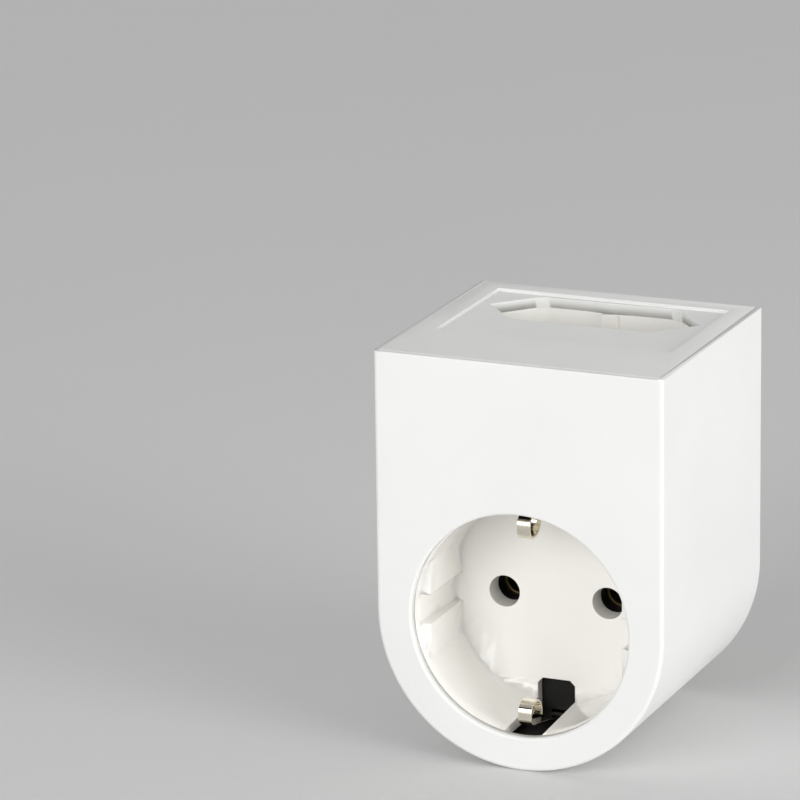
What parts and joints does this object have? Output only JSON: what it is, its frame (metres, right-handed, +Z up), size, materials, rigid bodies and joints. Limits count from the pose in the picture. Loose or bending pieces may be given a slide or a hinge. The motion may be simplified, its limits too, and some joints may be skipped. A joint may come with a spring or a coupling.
{
  "type": "travel plug adapter",
  "caption": "Block travel plug adapter: round recessed earthed socket in front, flat two-pin socket on top, two flat blades and a round ground pin behind.",
  "frame": {"origin": "on the plug's face, midway between the two flat blades", "axes": "+Y into the wall along the blades and the ground pin, +Z up, +X to the right as a user faces the adapter"},
  "size_m": [0.052, 0.0691, 0.0717],
  "materials": {
    "shell_white": "satin-gloss moulded white, very fine texture",
    "socket_cream": "glossy warm white moulding",
    "collar_grey": "satin light grey-white moulding",
    "plug_nickel": "bright nickel plate with fine draw lines",
    "clip_nickel": "polished warm nickel plate on brass strip",
    "inner_dark": "black heat-resistant moulding",
    "contact_brass": "bare stamped brass",
    "screw_steel": "zinc plated"
  },
  "bodies": {
    "root": {"blade_carrier": "inner_dark", "blade_carrier_screws": "screw_steel", "blade_collar_live": "collar_grey", "blade_collar_neutral": "collar_grey", "blade_live": "plug_nickel", "blade_neutral": "plug_nickel", "blade_rivets": "contact_brass", "busbar_live": "contact_brass", "busbar_neutral": "contact_brass", "carrier_screws": "screw_steel", "contact_carrier": "inner_dark", "earth_bridge": "contact_brass", "flat_contact_holder": "inner_dark", "flat_contact_live": "contact_brass", "flat_contact_neutral": "contact_brass", "flat_well": "socket_cream", "ground_collar": "collar_grey", "ground_pin": "plug_nickel", "ground_rivet": "contact_brass", "holder_screws": "screw_steel", "outer_sleeve": "shell_white", "plug_face_disc": "shell_white", "rear_cover": "shell_white", "socket_contact_live": "contact_brass", "socket_contact_neutral": "contact_brass", "socket_well": "socket_cream"},
    "earth_clip_top": {"earth_clip_top": "clip_nickel"},
    "earth_clip_bottom": {"earth_clip_bottom": "clip_nickel"}
  },
  "joints": [
    {"name": "earth_clip_top_flex", "type": "hinge", "parent": "root", "child": "earth_clip_top", "pos_m": [0, -0.02675, 0.0232], "axis": [-1, 0, 0], "range_deg": [0, 6], "stiffness_Nm_per_rad": 0.5},
    {"name": "earth_clip_bottom_flex", "type": "hinge", "parent": "root", "child": "earth_clip_bottom", "pos_m": [0, -0.02675, -0.0196], "axis": [1, 0, 0], "range_deg": [0, 6], "stiffness_Nm_per_rad": 0.5}
  ]
}
